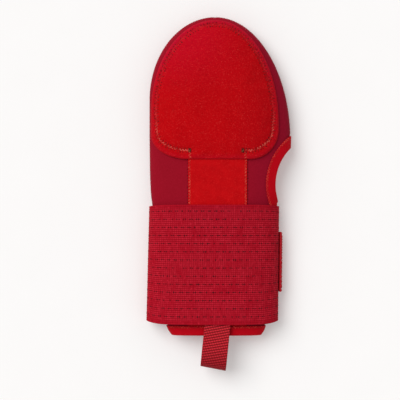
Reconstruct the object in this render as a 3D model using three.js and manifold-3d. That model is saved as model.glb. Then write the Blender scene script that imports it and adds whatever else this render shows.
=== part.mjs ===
// A sliding mitt for base running: a neoprene hand sleeve with a padded finger plate, a bound thumb opening, a
// wide elastic wrist strap and a webbing pull loop. It lies flat, palm down.
// Millimetres. +Y points to the fingertips, +X to the thumb side and +Z up from the surface that it lies on.
// While the pieces are made, y is 0 at the cuff edge and x is 0 on the sleeve's centre line.
import * as THREE from "three";
import { mergeVertices } from "three/addons/utils/BufferGeometryUtils.js";
import Module from "manifold-3d";

const wasm = await Module();
wasm.setup();

// Clearance between pieces that touch
const gap = 0.3;

// Hand sleeve: two neoprene panels sewn edge to edge
const mittLength = 276;
const mittWidth = 121.8;
const thumbSide = 0.535; // share of the width that lies on the thumb side of the centre line
const mittHeight = 28;
const seamHeight = 12;
const neoprene = 3;
const leftShoulder = 0.74; // share of the length where the little-finger side starts to round
const rightShoulder = 0.613; // the same on the index-finger side
const domePower = 2.5; // superellipse power of the section above the seam
const bellyPower = 2.8; // and below it
const bellySag = 1.1; // how far the belly would hang, if the surface didn't press it flat

// Bindings round the thumb opening and the cuff
const bindingWidth = 8.4;
const bindingThickness = 0.8;

// Wrist strap of wide elastic, and the hook tab on its end
const strapWidth = 103.5;
const strapThickness = 1.6;
const strapFromCuff = 9.8;
const strapFlareLeft = 2.6; // how much further out the strap stands at the cuff than at its upper edge
const strapFlareRight = -0.9;
const strapUpperDip = 1.3; // how far the strap's edges draw in where it folds round the sides
const strapLowerDip = 2.8;
const strapFold = 6; // power that keeps that dip close to the fold
const tabWidth = 52;
const tabThickness = 2.5;
const tabOffset = 2; // from the strap's middle, towards the fingers
const tabReach = 28; // from the centre line to where the tab is sewn on, under the palm
const tabRise = 5; // degrees above the widest line of the strap, where the tab ends

// Finger pad, and the sleeve for the stiffening plate that runs up under it
const padThickness = 3.2;
const padAboveStrap = 39;
const padTipMargin = 2.8;
const padLeftMargin = 1.1;
const padRightMargin = 10.3;
const padShoulders = { left: 0.66, right: 0.73 }; // height of each tip arc, as a share of the pad's length
const padCorners = { // as shares of the pad's width and length
  left: { wide: 0.29, tall: 0.175 },
  right: { wide: 0.225, tall: 0.21 },
};
const panelWidth = 50.8;
const panelThickness = 1;
const panelCentre = 2.1;
const panelTuck = 12;

// Thumb opening
const thumbRadius = 43.5;
const thumbDepth = 12.9; // how far it cuts in from the widest part of the mitt
const thumbAboveStrap = 17.5;

// Pull loop of webbing
const loopWidth = 22.2;
const loopThickness = 1.3;
const loopTuck = 12; // under the strap
const loopReach = 28.7; // past the cuff
const loopBow = { long: 10, high: 7.2 }; // half-axes of its round end
const loopTilt = 5.7; // degrees towards the little finger
const loopSkew = 5; // degrees that its end is turned further
const loopCentre = 3.2;

// Fineness of the faceted surfaces
const ringSteps = 36;
const cuffSteps = 2;
const wristSteps = 5;
const handSteps = 7;
const tipSteps = 9;
const tipEnd = 0.985; // share of the quarter turn round the tip at which its rings close
const strapSteps = 5;
const foldStep = 9; // degrees round the strap
const notchSegments = 56;
const outlinePoints = 60;
const diveSteps = 8;
const bowSteps = 12;

// Heights and places that follow from the sizes
const strapLower = strapFromCuff;
const strapUpper = strapFromCuff + strapWidth;
const stack = panelThickness + 2 * gap; // between the sleeve and the strap
const wristRise = Math.max(strapThickness, tabThickness) + gap; // of the palm over the strap's lower run
const palmRise = bindingThickness + 2 * gap; // of the palm beside the bound thumb opening
const thumbY = strapUpper + thumbAboveStrap;
const leftShoulderY = leftShoulder * mittLength;
const rightShoulderY = rightShoulder * mittLength;
const sleeveLeft = (1 - thumbSide) * mittWidth;
const sleeveRight = thumbSide * mittWidth;
const loopRootY = strapLower + loopTuck;
const far = 2 * mittLength; // clear of the mitt on any side

// The sleeve from the cuff to the tip. Below the strap's upper edge along is a share of that edge's distance
// from the cuff, above it 1 plus a share of the rest of the length. left and right are shares of the widest
// reach on that side of the centre line, and crown is a share of mittHeight.
const sleeveRows = [
  { along: 0.0, left: 0.656, right: 0.607, crown: 0.77, rise: wristRise },
  { along: 0.04, left: 0.701, right: 0.643, crown: 0.775, rise: wristRise },
  { along: 0.1, left: 0.751, right: 0.675, crown: 0.785, rise: wristRise },
  { along: 0.26, left: 0.862, right: 0.742, crown: 0.83, rise: wristRise },
  { along: 0.5, left: 0.916, right: 0.779, crown: 0.88, rise: wristRise },
  { along: 0.95, left: 0.955, right: 0.804, crown: 0.925, rise: wristRise },
  { along: 1.0, left: 0.959, right: 0.811, crown: 0.93, rise: wristRise },
  { along: 1.04, left: 0.974, right: 0.852, crown: 0.95, rise: (palmRise + wristRise) / 2 },
  { along: 1.08, left: 0.983, right: 0.890, crown: 0.96, rise: palmRise },
  { along: 1.18, left: 0.994, right: 0.951, crown: 0.99, rise: palmRise },
  { along: 1.29, left: 0.998, right: 0.994, crown: 1.0, rise: palmRise },
  { along: 1.37, left: 1.000, right: 1.000, crown: 1.0, rise: palmRise },
  { along: 1.5, left: 1.000, right: 1.000, crown: 0.98, rise: 0 },
  { along: 2.0, left: 1.000, right: 1.000, crown: 0.9, rise: 0 },
];

// The value of a column at a share of the length, on a smooth curve that never overshoots its rows
function column(rows, name, along) {
  const i = Math.min(Math.max(rows.findIndex((row) => row.along > along) - 1, 0), rows.length - 2);
  const k = along >= rows[rows.length - 1].along ? rows.length - 2 : i;
  const slope = (j) => (rows[j + 1][name] - rows[j][name]) / (rows[j + 1].along - rows[j].along);
  const tangent = (j) => {
    if (j === 0 || j === rows.length - 1) return 0;
    const [before, after] = [slope(j - 1), slope(j)];
    return before * after > 0 ? (2 * before * after) / (before + after) : 0;
  };
  const span = rows[k + 1].along - rows[k].along;
  const t = Math.min(Math.max((along - rows[k].along) / span, 0), 1);
  const [a, b] = [rows[k][name], rows[k + 1][name]];
  const [ta, tb] = [tangent(k) * span, tangent(k + 1) * span];
  return a + t * (ta + t * (3 * (b - a) - 2 * ta - tb + t * (2 * (a - b) + ta + tb)));
}

// A value from 1 at the shoulder to 0 at the tip, on a superellipse
function fade(y, shoulderY, power) {
  const share = THREE.MathUtils.clamp((y - shoulderY) / (mittLength - shoulderY), 0, 1);
  return (1 - share ** power) ** (1 / power);
}

// The sleeve's outer section at y
function sleeveAt(y) {
  const along = y < strapUpper ? y / strapUpper : 1 + (y - strapUpper) / (mittLength - strapUpper);
  const rise = column(sleeveRows, "rise", along);
  return {
    y,
    left: column(sleeveRows, "left", along) * sleeveLeft * fade(y, leftShoulderY, 2),
    right: column(sleeveRows, "right", along) * sleeveRight * fade(y, rightShoulderY, 2),
    crown: (column(sleeveRows, "crown", along) * mittHeight - seamHeight) * fade(y, leftShoulderY, 3),
    belly: (seamHeight - rise) * bellySag * fade(y, leftShoulderY, 3),
    rest: rise,
  };
}

// The same section grown by a distance. Near the tip it grows along the mitt instead of across it.
function grown(section, by) {
  const { y } = section;
  const share = Math.max((y - leftShoulderY) / (mittLength - leftShoulderY), 0);
  return {
    y: y + by * share,
    left: section.left + by * fade(y, leftShoulderY, 2),
    right: section.right + by * fade(y, rightShoulderY, 2),
    crown: section.crown + by * fade(y, leftShoulderY, 3),
    belly: section.belly + by * fade(y, leftShoulderY, 3),
    rest: section.rest - by,
  };
}

// A point of a section at an angle from the thumb side, turning over the top
function onSection(section, angle) {
  const [cos, sin] = [Math.cos(angle), Math.sin(angle)];
  const power = sin >= 0 ? domePower : bellyPower;
  const across = Math.sign(cos) * Math.abs(cos) ** (2 / power);
  const up = Math.sign(sin) * Math.abs(sin) ** (2 / power);
  const x = across * (across > 0 ? section.right : section.left);
  const z = seamHeight + up * (up > 0 ? section.crown : section.belly);
  return new THREE.Vector3(x, section.y, Math.max(z, Math.min(section.rest, seamHeight)));
}

// A closed geometry through rings of points that each hold as many points, with its two ends zipped shut
function loft(rings) {
  const count = rings[0].length;
  const faces = [];
  const quad = (a, b, c, d) => faces.push(a, b, c, a, c, d);
  for (let r = 0; r + 1 < rings.length; r++)
    for (let i = 0; i < count; i++) {
      const [a, b] = [r * count + i, r * count + ((i + 1) % count)];
      quad(a, b, b + count, a + count);
    }
  const end = (rings.length - 1) * count;
  for (let i = 0; i + 1 < count / 2; i++) {
    const [p, q] = [count - 1 - i, count - 2 - i];
    quad(i, p, q, i + 1);
    quad(end + i, end + i + 1, end + q, end + p);
  }
  const geometry = new THREE.BufferGeometry().setFromPoints(rings.flat());
  return geometry.setIndex(faces);
}

// A closed geometry as a solid that can be cut and joined
function solid(geometry) {
  const bare = geometry.clone();
  bare.deleteAttribute("normal");
  bare.deleteAttribute("uv");
  const merged = mergeVertices(bare, 1e-4);
  const vertProperties = new Float32Array(merged.attributes.position.array);
  const triVerts = new Uint32Array(merged.index.array);
  const made = new wasm.Manifold(new wasm.Mesh({ numProp: 3, vertProperties, triVerts }));
  if (made.volume() > 0) return made;
  const turned = triVerts.slice().reverse();
  return new wasm.Manifold(new wasm.Mesh({ numProp: 3, vertProperties, triVerts: turned }));
}

// A solid as a named mesh
function piece(name, made, material) {
  const { numProp, numVert, vertProperties, triVerts } = made.getMesh();
  const positions = new Float32Array(numVert * 3);
  for (let i = 0; i < numVert; i++)
    positions.set(vertProperties.subarray(i * numProp, i * numProp + 3), i * 3);
  const geometry = new THREE.BufferGeometry();
  geometry.setAttribute("position", new THREE.BufferAttribute(positions, 3));
  geometry.setIndex(new THREE.BufferAttribute(triVerts, 1));
  geometry.computeVertexNormals();
  const mesh = new THREE.Mesh(geometry, material);
  mesh.name = name;
  return mesh;
}

// A box between two corners
function block(x0, x1, y0, y1, z0, z1) {
  const box = new THREE.BoxGeometry(x1 - x0, y1 - y0, z1 - z0);
  return solid(box.translate((x0 + x1) / 2, (y0 + y1) / 2, (z0 + z1) / 2));
}

// An upright disc through the whole height of the mitt
function disc(radius, x, y) {
  const cylinder = new THREE.CylinderGeometry(radius, radius, far, notchSegments);
  return solid(cylinder.rotateX(Math.PI / 2).translate(x, y, 0));
}

// Evenly spaced values after the first
const spaced = (from, to, steps) =>
  Array.from({ length: steps }, (_, i) => THREE.MathUtils.lerp(from, to, (i + 1) / steps));

// The sleeve's outer surface, grown by a distance, as a full solid. A hollow runs on out of the cuff.
function sleeveBody(by, pastCuff = 0) {
  const turns = spaced(0, 1, tipSteps).map((share) => (Math.min(share, tipEnd) * Math.PI) / 2);
  const rows = [
    0,
    ...spaced(0, strapLower, cuffSteps),
    ...spaced(strapLower, strapUpper, wristSteps),
    ...spaced(strapUpper, leftShoulderY, handSteps),
    ...turns.map((turn) => leftShoulderY + (mittLength - leftShoulderY) * Math.sin(turn)),
  ];
  const sections = rows.map((y) => grown(sleeveAt(y), by));
  if (pastCuff) sections.unshift({ ...sections[0], y: -pastCuff });
  const angles = Array.from({ length: ringSteps }, (_, i) => (2 * Math.PI * (i + 0.5)) / ringSteps);
  return solid(loft(sections.map((section) => angles.map((angle) => onSection(section, angle)))));
}

const aboveSeam = block(-far, far, -far, far, seamHeight + gap / 2, far);
const belowSeam = block(-far, far, -far, far, -far, seamHeight - gap / 2);

// The middle of the round bite that the thumb opening takes out of the mitt's side
const thumbX = sleeveRight + thumbRadius - thumbDepth;

// What the thumb opening takes out of both panels, grown by a distance
const thumbCut = (by) => disc(thumbRadius + by, thumbX, thumbY);

// The neoprene, cut back at the thumb and the cuff to make room for the fold of each binding
function sleevePanels() {
  const fold = bindingThickness + gap;
  const wall = sleeveBody(0).subtract(sleeveBody(-neoprene, neoprene));
  const trimmed = wall.intersect(block(-far, far, fold, far, -far, far)).subtract(thumbCut(fold));
  return { back: trimmed.intersect(aboveSeam), palm: trimmed.intersect(belowSeam) };
}

// A binding folded over the neoprene inside a region. The core is what its fold leaves free.
function binding(region, core) {
  const outside = gap + bindingThickness;
  const folded = sleeveBody(outside).subtract(sleeveBody(-neoprene - outside, neoprene + outside));
  const wall = sleeveBody(gap).subtract(sleeveBody(-neoprene - gap, neoprene + outside));
  return folded.intersect(region).subtract(wall.intersect(core));
}

function thumbBinding() {
  const region = thumbCut(bindingWidth).subtract(thumbCut(0));
  const core = block(-far, far, 0, far, -far, far).subtract(thumbCut(bindingThickness));
  return binding(region, core);
}

function cuffBinding() {
  const region = block(-far, far, 0, bindingWidth, -far, far);
  const core = block(-far, far, bindingThickness, far, -far, far);
  return binding(region, core);
}

// The plate sleeve's outline, grown by a distance. It runs from the cuff binding to well under the pad.
function panelTrim(by) {
  const lower = bindingWidth + gap - by;
  const upper = strapUpper + padAboveStrap + panelTuck + by;
  const half = panelWidth / 2 + by;
  return block(panelCentre - half, panelCentre + half, lower, upper, seamHeight, far);
}

function centrePanel() {
  const raised = sleeveBody(gap + panelThickness).subtract(sleeveBody(gap));
  return raised.intersect(panelTrim(0));
}

// The pad's outline: a straight pocket edge, two round corners and two arcs that meet at the tip
function padOutline() {
  const left = padLeftMargin - sleeveLeft;
  const right = sleeveRight - padRightMargin;
  const lower = strapUpper + padAboveStrap;
  const tip = mittLength - padTipMargin;
  const [width, length] = [right - left, tip - lower];
  const corner = (side) => [padCorners[side].wide * width, padCorners[side].tall * length];
  const rise = (side) => padShoulders[side] * length;
  const [leftWide, leftTall] = corner("left");
  const [rightWide, rightTall] = corner("right");
  const quarter = Math.PI / 2;
  const shape = new THREE.Shape();
  shape.moveTo(left + leftWide, lower);
  shape.lineTo(right - rightWide, lower);
  shape.absellipse(right - rightWide, lower + rightTall, rightWide, rightTall, -quarter, 0, false, 0);
  shape.absellipse(0, tip - rise("right"), right, rise("right"), 0, quarter, false, 0);
  shape.absellipse(0, tip - rise("left"), -left, rise("left"), quarter, 2 * quarter, false, 0);
  shape.absellipse(left + leftWide, lower + leftTall, leftWide, leftTall, -2 * quarter, -quarter, false, 0);
  return shape.getSpacedPoints(outlinePoints).slice(0, outlinePoints);
}

// The height of the sleeve's outer surface over a point of its plan
function sleeveTop(x, y) {
  const section = sleeveAt(y);
  const across = Math.min(Math.abs(x) / (x > 0 ? section.right : section.left), 1);
  return seamHeight + section.crown * (1 - across ** domePower) ** (1 / domePower);
}

// The pad's thickness from its edge, over the flange outside its stitches, to its middle: inset is a share
// of the way from the outline to the middle, and full a share of padThickness
const padRows = [
  { inset: 0, full: 0.75 },
  { inset: 0.02, full: 0.86 },
  { inset: 0.09, full: 0.84 },
  { inset: 0.16, full: 0.97 },
  { inset: 0.36, full: 1 },
  { inset: 0.66, full: 1 },
  { inset: 0.97, full: 1 },
];

function fingerPad() {
  const outline = padOutline();
  const middle = new THREE.Box2().setFromPoints(outline).getCenter(new THREE.Vector2());
  const ring = (inset, height) =>
    outline.map((point) => {
      const { x, y } = point.clone().lerp(middle, inset);
      return new THREE.Vector3(x, y, height(x, y));
    });
  const upper = padRows.map(({ inset, full }) => {
    const height = gap + full * padThickness;
    return ring(inset, (x, y) => sleeveTop(x, y) + height);
  });
  const draped = solid(loft([ring(0, () => seamHeight + gap), ...upper]));
  const recess = sleeveBody(panelThickness + 2 * gap).intersect(panelTrim(gap));
  return draped.subtract(sleeveBody(gap)).subtract(recess).subtract(thumbCut(bindingWidth + gap));
}

// The strap's inner section at y. It keeps the width of its upper edge, where the sleeve fills it.
function strapAt(y) {
  const top = sleeveAt(strapUpper);
  const here = sleeveAt(y);
  const share = (strapUpper - y) / strapWidth;
  const overLoop = sleeveAt(loopRootY).crown + 2 * (loopThickness + gap);
  return {
    y,
    left: Math.max(top.left + share * strapFlareLeft, here.left) + palmRise,
    right: Math.max(top.right + share * strapFlareRight, here.right) + palmRise,
    crown: Math.max(top.crown, here.crown, overLoop) + stack,
    belly: (seamHeight - strapThickness) * bellySag,
    rest: strapThickness,
  };
}

// A strip round the strap's surface between two angles. Each ring runs across the strip on its outer face
// and back on its inner face. depth gives the distance of the two faces from the strap's inner section, and
// floor their height where the strip lies on the surface.
function strapStrip(from, to, lower, upper, depth, floor) {
  const steps = Math.ceil((to - from) / THREE.MathUtils.degToRad(foldStep));
  const rows = Array.from({ length: strapSteps + 1 }, (_, i) => i / strapSteps);
  const point = (angle, share, face) => {
    const fold = Math.abs(Math.cos(angle)) ** strapFold;
    const drawnIn = { low: lower.dip * fold, high: upper.dip * fold };
    const y = THREE.MathUtils.lerp(lower.y + drawnIn.low, upper.y - drawnIn.high, share);
    const section = strapAt(y);
    const by = depth[face];
    const grownStrap = {
      y,
      left: section.left + by,
      right: section.right + by,
      crown: section.crown + by,
      belly: section.belly + by,
      rest: floor[face],
    };
    return onSection(grownStrap, angle);
  };
  const rings = Array.from({ length: steps + 1 }, (_, i) => {
    const angle = THREE.MathUtils.lerp(from, to, i / steps);
    const outer = rows.map((share) => point(angle, share, "outer"));
    const inner = rows.map((share) => point(angle, share, "inner"));
    return [...outer, ...inner.reverse()];
  });
  return solid(loft(rings));
}

// The angle on the strap's underside, thumb side, of a point at x, and that of a point at a height
const belowAtX = (x, half) => 2 * Math.PI - Math.acos((x / half) ** (bellyPower / 2));
const belowAtHeight = (z, depth) => -Math.asin(((seamHeight - z) / depth) ** (bellyPower / 2));

// The strap starts low on the thumb side, inside the tab that closes over it, and turns over the top and
// back under the palm
function wristStrap() {
  const middle = strapAt((strapLower + strapUpper) / 2);
  const clearOfTab = tabThickness + 2 * gap + strapThickness / 2;
  const from = belowAtHeight(clearOfTab, middle.belly + strapThickness);
  const to = belowAtX(tabReach - gap, middle.right + strapThickness);
  const lower = { y: strapLower, dip: strapLowerDip };
  const upper = { y: strapUpper, dip: strapUpperDip };
  const depth = { inner: 0, outer: strapThickness };
  return strapStrip(from, to, lower, upper, depth, { inner: strapThickness, outer: 0 });
}

// The tab runs on from the strap's end under the palm, then up outside the strap's start
function hookTab() {
  const middle = (strapLower + strapUpper) / 2 + tabOffset;
  const start = strapThickness + gap;
  const from = belowAtX(tabReach, strapAt(middle).right + start);
  const to = 2 * Math.PI + THREE.MathUtils.degToRad(tabRise);
  const lower = { y: middle - tabWidth / 2, dip: 0 };
  const upper = { y: middle + tabWidth / 2, dip: 0 };
  const depth = { inner: start, outer: start + tabThickness };
  return strapStrip(from, to, lower, upper, depth, { inner: tabThickness, outer: 0 });
}

// The loop's webbing. Seen from the side it comes out from under the strap as a lower ply, drops past the
// cuff to its round end and comes back above itself.
function pullLoop() {
  const lowerPly = seamHeight + sleeveAt(loopRootY).crown + stack + loopThickness / 2;
  const upperPly = lowerPly + loopThickness + gap;
  const drop = lowerPly - upperPly + 2 * loopBow.high;
  const reach = loopRootY + loopReach - loopThickness / 2;
  const bowFrom = reach - loopBow.long;
  const path = [new THREE.Vector2(0, lowerPly), new THREE.Vector2(loopRootY, lowerPly)];
  for (const share of spaced(0, 1, diveSteps).slice(0, -1)) {
    const dropped = drop * THREE.MathUtils.smoothstep(share, 0, 1);
    path.push(new THREE.Vector2(THREE.MathUtils.lerp(loopRootY, bowFrom, share), lowerPly - dropped));
  }
  for (const turn of [0, ...spaced(0, Math.PI, bowSteps)]) {
    const out = bowFrom + loopBow.long * Math.sin(turn);
    path.push(new THREE.Vector2(out, upperPly - loopBow.high * (1 + Math.cos(turn))));
  }
  path.push(new THREE.Vector2(loopRootY, upperPly), new THREE.Vector2(0, upperPly));
  const skew = Math.tan(THREE.MathUtils.degToRad(loopSkew)) / reach;
  const half = loopThickness / 2;
  const rings = path.map((point, i) => {
    const ahead = path[Math.min(i + 1, path.length - 1)];
    const behind = path[Math.max(i - 1, 0)];
    const along = ahead.clone().sub(behind).normalize();
    const corner = (side, face) => {
      const across = (side * loopWidth) / 2;
      const out = (point.x - along.y * face * half) * (1 + across * skew);
      return new THREE.Vector3(across, -out, point.y + along.x * face * half);
    };
    return [corner(-1, 1), corner(1, 1), corner(1, -1), corner(-1, -1)];
  });
  const webbing = loft(rings).rotateZ(THREE.MathUtils.degToRad(-loopTilt));
  return solid(webbing.translate(loopCentre, loopRootY, 0));
}

const fabric = (color, roughness) => new THREE.MeshStandardMaterial({ color, roughness, metalness: 0 });
const neopreneRed = fabric(0x8f0d1f, 0.75);
const padRed = fabric(0xb80a10, 0.95);
const bindingRed = fabric(0xa90a1a, 0.6);
const elasticRed = fabric(0xa01624, 0.8);
const hookRed = fabric(0x86101a, 0.9);
const webbingRed = fabric(0x9a1d25, 0.7);

const panels = sleevePanels();
const mitt = new THREE.Group();
mitt.add(
  piece("back_panel", panels.back, neopreneRed),
  piece("palm_panel", panels.palm, neopreneRed),
  piece("finger_pad", fingerPad(), padRed),
  piece("centre_panel", centrePanel(), padRed),
  piece("thumb_binding", thumbBinding(), bindingRed),
  piece("cuff_binding", cuffBinding(), bindingRed),
  piece("wrist_strap", wristStrap(), elasticRed),
  piece("hook_tab", hookTab(), hookRed),
  piece("pull_loop", pullLoop(), webbingRed),
);

// Stand the mitt on the surface, with the middle of its outline over the origin
const bounds = new THREE.Box3().setFromObject(mitt);
const middle = bounds.getCenter(new THREE.Vector3());
mitt.position.set(-middle.x, -middle.y, -bounds.min.z);

export default mitt;
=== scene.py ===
"""The looks of a sliding mitt for base running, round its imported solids.

Shapes are worked out in millimetres, with x from the sleeve's centre line and y from the cuff edge, and are
moved to their place over the solids as each mesh is made.
"""

import math
from types import SimpleNamespace

import bmesh
import bpy
import numpy as np
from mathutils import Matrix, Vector
from mathutils.bvhtree import BVHTree


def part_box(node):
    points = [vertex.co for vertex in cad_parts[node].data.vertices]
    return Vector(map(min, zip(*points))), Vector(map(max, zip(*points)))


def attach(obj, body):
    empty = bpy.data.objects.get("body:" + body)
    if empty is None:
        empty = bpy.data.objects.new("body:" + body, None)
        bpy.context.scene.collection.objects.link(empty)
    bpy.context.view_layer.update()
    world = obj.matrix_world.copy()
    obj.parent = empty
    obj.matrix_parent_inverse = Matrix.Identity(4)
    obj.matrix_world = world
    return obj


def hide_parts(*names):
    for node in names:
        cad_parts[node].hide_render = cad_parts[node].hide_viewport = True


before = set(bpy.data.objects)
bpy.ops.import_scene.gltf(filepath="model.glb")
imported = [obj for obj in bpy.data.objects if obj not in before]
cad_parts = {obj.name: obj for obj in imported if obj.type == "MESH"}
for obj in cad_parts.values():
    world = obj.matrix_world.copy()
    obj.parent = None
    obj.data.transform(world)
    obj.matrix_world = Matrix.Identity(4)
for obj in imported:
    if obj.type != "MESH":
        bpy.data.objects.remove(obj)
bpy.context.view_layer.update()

MM = 0.001
TURN = 2 * math.pi
GAP = 0.3
MITT_LENGTH = 276
MITT_WIDTH = 121.8
THUMB_SIDE = 0.535
MITT_HEIGHT = 28
SEAM_HEIGHT = 12
NEOPRENE = 3
LEFT_SHOULDER = 0.74 * MITT_LENGTH
RIGHT_SHOULDER = 0.613 * MITT_LENGTH
DOME_POWER = 2.5
BELLY_POWER = 2.8
BELLY_SAG = 1.1
BINDING_WIDTH = 8.4
BINDING_THICKNESS = 0.8
BINDING_VOXEL = 0.34
STRAP_WIDTH = 103.5
STRAP_THICKNESS = 1.6
STRAP_LOWER = 9.8
STRAP_UPPER = STRAP_LOWER + STRAP_WIDTH
STRAP_FLARE_LEFT = 2.6
STRAP_FLARE_RIGHT = -0.9
STRAP_DIPS = (2.8, 1.3)
TAB_WIDTH = 52
TAB_THICKNESS = 2.5
TAB_OFFSET = 2
TAB_REACH = 28
TAB_RISE = 5
PAD_THICKNESS = 3.2
PAD_COLUMNS = 240
PAD_LOWER = STRAP_UPPER + 39
PAD_TIP = MITT_LENGTH - 2.8
PANEL_WIDTH = 50.8
PANEL_THICKNESS = 1
PANEL_CENTRE = 2.1
PANEL_LOWER = BINDING_WIDTH + GAP
PANEL_UPPER = PAD_LOWER + 12
THUMB_RADIUS = 43.5
THUMB_DEPTH = 12.9
LOOP_WIDTH = 22.2
LOOP_THICKNESS = 1.3
LOOP_ROOT = STRAP_LOWER + 12
LOOP_REACH = 28.7
LOOP_BOW_LONG = 10
LOOP_BOW_HIGH = 7.2
LOOP_TILT = math.radians(5.7)
LOOP_SKEW = math.radians(5)
LOOP_CENTRE = 3.2

SLEEVE_LEFT = (1 - THUMB_SIDE) * MITT_WIDTH
SLEEVE_RIGHT = THUMB_SIDE * MITT_WIDTH
THUMB_X = SLEEVE_RIGHT + THUMB_RADIUS - THUMB_DEPTH
THUMB_Y = STRAP_UPPER + 17.5
STACK = PANEL_THICKNESS + 2 * GAP
STRAP_MIDDLE = (STRAP_LOWER + STRAP_UPPER) / 2
TAB_MIDDLE = STRAP_MIDDLE + TAB_OFFSET
TAB_LOWER, TAB_UPPER = TAB_MIDDLE - TAB_WIDTH / 2, TAB_MIDDLE + TAB_WIDTH / 2
WRIST_RISE = TAB_THICKNESS + GAP
PALM_RISE = BINDING_THICKNESS + 2 * GAP

RIB_PITCH = 1.75
MARK_ROWS = 14
MARK_ROW_PITCH = 4 * RIB_PITCH
MARK_PITCH = 5.65
FIRST_MARK_ROW = 7.0
TWILL_PITCH = 2.26
FLOAT_PITCH = 2.0
TWILL_ANGLE = math.radians(18)
TWILL_PHASE = LOOP_WIDTH / 2 * math.tan(TWILL_ANGLE) / TWILL_PITCH + 0.25
SEWN_MARGIN = 4.4
POCKET_MARGIN = 7.6
POCKET_LEFT, POCKET_RIGHT = -22.5, 24.0

# The pad's cloth: its grid, how long it moves and the most that it may move
CLOTH_STRIDE = 4
CLOTH_FRAMES = 24
CLOTH_PRESSURE = 5
MOST_SWELL = 1.2
MOST_SINK = 0.35

# The lowest that thread and marks may lie, so that they stay above the floor
LAID_FLOOR = 0.44
STRIP_FLOOR = 0.56
MARK_FLOOR = 0.18
MARK_TILT = 1.1
MARK_SINK = 0.12

FLOOR_REACH = 3.0
FLOOR_GLOW = 0.19
SURROUND_LIGHT = 0.56
KEY_LIGHT = 1.9
KEY_SPREAD = math.radians(45)
KEY_WAY = (0.62, -0.5, -1.0)
CAMERA_LENS = 145
CAMERA_SENSOR = 36
CAMERA_RANGE = 0.05, 20
CAMERA_PLACE = (-0.0162, -0.0054, 1.4137)

# The sleeve from the cuff to the tip: along, left, right, crown and rise
SLEEVE_ROWS = np.array([
    (0.00, 0.656, 0.607, 0.770, WRIST_RISE),
    (0.04, 0.701, 0.643, 0.775, WRIST_RISE),
    (0.10, 0.751, 0.675, 0.785, WRIST_RISE),
    (0.26, 0.862, 0.742, 0.830, WRIST_RISE),
    (0.50, 0.916, 0.779, 0.880, WRIST_RISE),
    (0.95, 0.955, 0.804, 0.925, WRIST_RISE),
    (1.00, 0.959, 0.811, 0.930, WRIST_RISE),
    (1.04, 0.974, 0.852, 0.950, (PALM_RISE + WRIST_RISE) / 2),
    (1.08, 0.983, 0.890, 0.960, PALM_RISE),
    (1.18, 0.994, 0.951, 0.990, PALM_RISE),
    (1.29, 0.998, 0.994, 1.000, PALM_RISE),
    (1.37, 1.000, 1.000, 1.000, PALM_RISE),
    (1.50, 1.000, 1.000, 0.980, 0),
    (2.00, 1.000, 1.000, 0.900, 0),
]).T

# Where x = 0, y = 0 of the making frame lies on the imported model
panel_low, panel_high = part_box("centre_panel")
cuff_low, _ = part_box("cuff_binding")
PLACE = np.array([
    (panel_low.x + panel_high.x) / 2 - PANEL_CENTRE / 1000,
    cuff_low.y,
    0,
])


# The sleeve's form


def column(values, along):
    """A column of SLEEVE_ROWS on a smooth curve that never overshoots its rows."""
    at = SLEEVE_ROWS[0]
    slopes = np.diff(values) / np.diff(at)
    before, after = slopes[:-1], slopes[1:]
    same_way = before * after > 0
    mean = 2 * before * after / np.where(same_way, before + after, 1)
    tangents = np.concatenate([[0], np.where(same_way, mean, 0), [0]])
    k = np.clip(np.searchsorted(at, along, side="right") - 1, 0, len(at) - 2)
    span = at[k + 1] - at[k]
    t = np.clip((along - at[k]) / span, 0, 1)
    a, b = values[k], values[k + 1]
    ta, tb = tangents[k] * span, tangents[k + 1] * span
    return a + t * (ta + t * (3 * (b - a) - 2 * ta - tb + t * (2 * (a - b) + ta + tb)))


def fade(y, shoulder, power):
    """From 1 at the shoulder to 0 at the tip, on a superellipse."""
    share = np.clip((y - shoulder) / (MITT_LENGTH - shoulder), 0, 1)
    return (1 - share**power) ** (1 / power)


def sleeve_at(y):
    """The sleeve's outer section at y."""
    y = np.asarray(y, float)
    below, above = y / STRAP_UPPER, 1 + (y - STRAP_UPPER) / (MITT_LENGTH - STRAP_UPPER)
    along = np.where(y < STRAP_UPPER, below, above)
    left, right, crown, rise = (column(values, along) for values in SLEEVE_ROWS[1:])
    return SimpleNamespace(
        y=y,
        left=left * SLEEVE_LEFT * fade(y, LEFT_SHOULDER, 2),
        right=right * SLEEVE_RIGHT * fade(y, RIGHT_SHOULDER, 2),
        crown=(crown * MITT_HEIGHT - SEAM_HEIGHT) * fade(y, LEFT_SHOULDER, 3),
        belly=(SEAM_HEIGHT - rise) * BELLY_SAG * fade(y, LEFT_SHOULDER, 3),
        rest=rise,
    )


def grown(section, by):
    """The section grown by a distance, which near the tip is along the mitt."""
    y = section.y
    share = np.maximum((y - LEFT_SHOULDER) / (MITT_LENGTH - LEFT_SHOULDER), 0)
    round_fade = fade(y, LEFT_SHOULDER, 2)
    high_fade = fade(y, LEFT_SHOULDER, 3)
    return SimpleNamespace(
        y=y + by * share,
        left=section.left + by * round_fade,
        right=section.right + by * fade(y, RIGHT_SHOULDER, 2),
        crown=section.crown + by * high_fade,
        belly=section.belly + by * high_fade,
        rest=section.rest - by,
    )


def on_section(section, angle):
    """Points of a section at angles from the thumb side, turning over the top."""
    cos, sin = np.cos(angle), np.sin(angle)
    power = np.where(sin >= 0, DOME_POWER, BELLY_POWER)
    across = np.sign(cos) * np.abs(cos) ** (2 / power)
    up = np.sign(sin) * np.abs(sin) ** (2 / power)
    x = across * np.where(across > 0, section.right, section.left)
    z = SEAM_HEIGHT + up * np.where(up > 0, section.crown, section.belly)
    z = np.maximum(z, np.minimum(section.rest, SEAM_HEIGHT))
    return np.stack(np.broadcast_arrays(x, section.y, z), axis=-1)


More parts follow.
